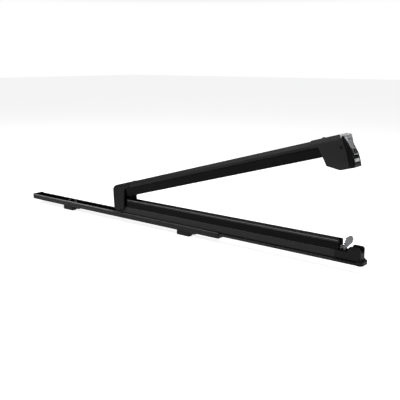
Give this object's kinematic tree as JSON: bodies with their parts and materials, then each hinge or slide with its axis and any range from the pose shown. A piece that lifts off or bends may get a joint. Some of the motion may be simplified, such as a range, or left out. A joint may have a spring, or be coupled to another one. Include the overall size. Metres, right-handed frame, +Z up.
{
  "type": "slide-out roof carrier clamp bar",
  "caption": "Hinged clamp bar for carrying skis or snowboards on a roof rack, slid out on its base rail, with rubber pads and a push-button latch with a lock.",
  "frame": {"origin": "midway between the two feet, on the plane of their undersides, at mid width", "axes": "+X along the bar towards the latch end, +Y across the bar, away from the side the picture shows, +Z up"},
  "size_m": [1.005, 0.0361, 0.2639],
  "materials": {
    "black_aluminium": "satin black anodised extrusion",
    "black_plastic": "fine-grained moulded nylon",
    "gloss_black": "smooth half-gloss moulding",
    "pad_rubber": "soft ribbed rubber",
    "silver": "satin silver plating",
    "steel": "zinc-plated steel",
    "black_steel": "black oxide steel",
    "nylon": "plain dark nylon",
    "lock_brass": "nickel-washed brass",
    "badge_grey": "plain light grey label, blank"
  },
  "bodies": {
    "base": {"base_rail": "black_aluminium", "base_end_cap": "black_plastic", "base_front_glide": "nylon", "rear_foot": "black_plastic", "front_foot": "black_plastic", "foot_pads": "pad_rubber", "foot_sleeves": "steel", "foot_screws": "steel", "stow_spring": "steel", "stow_spring_screw": "steel", "travel_stop": "nylon", "travel_stop_screw": "steel"},
    "carriage": {"slide_rail": "black_aluminium", "rail_rear_cap": "black_plastic", "glide_shoes": "nylon", "stow_catch": "nylon", "lower_pad": "pad_rubber", "front_housing": "black_plastic", "housing_screws": "steel", "hinge_pin": "black_steel", "pin_clip": "steel", "hinge_washers": "nylon", "ratchet_pin": "steel", "ratchet_spring": "steel"},
    "upper_jaw": {"upper_arm": "black_aluminium", "upper_pad": "pad_rubber", "upper_heel": "pad_rubber", "hinge_housing": "black_plastic", "hinge_bushes": "nylon", "hinge_rivet": "steel", "latch_housing": "black_plastic", "latch_rivet": "steel", "front_bezel": "gloss_black", "badge_plate": "badge_grey", "button_axle": "black_steel", "button_spring": "steel", "pawl_pin": "steel", "pawl_spring": "steel"},
    "release_button": {"button_paddle": "silver", "lock_boss": "gloss_black", "lock_barrel": "gloss_black", "link_pin": "steel"},
    "lock_plug": {"lock_plug": "lock_brass", "lock_cam": "lock_brass"},
    "release_link": {"release_link": "steel"},
    "latch_pawl": {"pawl": "steel"},
    "ratchet_hook": {"hook_plate": "steel", "toothed_plate": "steel", "hook_rivets": "steel"}
  },
  "joints": [
    {"name": "carriage_slide", "type": "slide", "parent": "base", "child": "carriage", "axis": [1, 0, 0], "range_m": [-0.325, 0]},
    {"name": "jaw_hinge", "type": "hinge", "parent": "carriage", "child": "upper_jaw", "pos_m": [-0.002, 0, 0.0297], "axis": [0, -1, 0], "range_deg": [-15.7, 18]},
    {"name": "button_pull", "type": "hinge", "parent": "upper_jaw", "child": "release_button", "pos_m": [0.59301, 0, 0.23881], "axis": [0, 1, 0], "range_deg": [0, 8], "stiffness_Nm_per_rad": 1.2, "springref_deg": -6.88},
    {"name": "link_level", "type": "hinge", "parent": "release_button", "child": "release_link", "pos_m": [0.59193, 0, 0.24858], "axis": [0, -1, 0], "range_deg": [0, 8]},
    {"name": "pawl_swing", "type": "hinge", "parent": "upper_jaw", "child": "latch_pawl", "pos_m": [0.56327, 0, 0.23596], "axis": [0, 1, 0], "range_deg": [0, 14.4]},
    {"name": "lock_turn", "type": "hinge", "parent": "release_button", "child": "lock_plug", "pos_m": [0.60638, 0, 0.23042], "axis": [0.9627, 0, 0.2706], "range_deg": [0, 90]},
    {"name": "hook_tilt", "type": "hinge", "parent": "carriage", "child": "ratchet_hook", "pos_m": [0.6015, 0, 0.0315], "axis": [0, 1, 0], "range_deg": [-2, 10], "stiffness_Nm_per_rad": 0.6}
  ],
  "couplings": [
    {"joint": "link_level", "follows": "button_pull", "ratio": 1},
    {"joint": "pawl_swing", "follows": "button_pull", "ratio": 1.8}
  ]
}
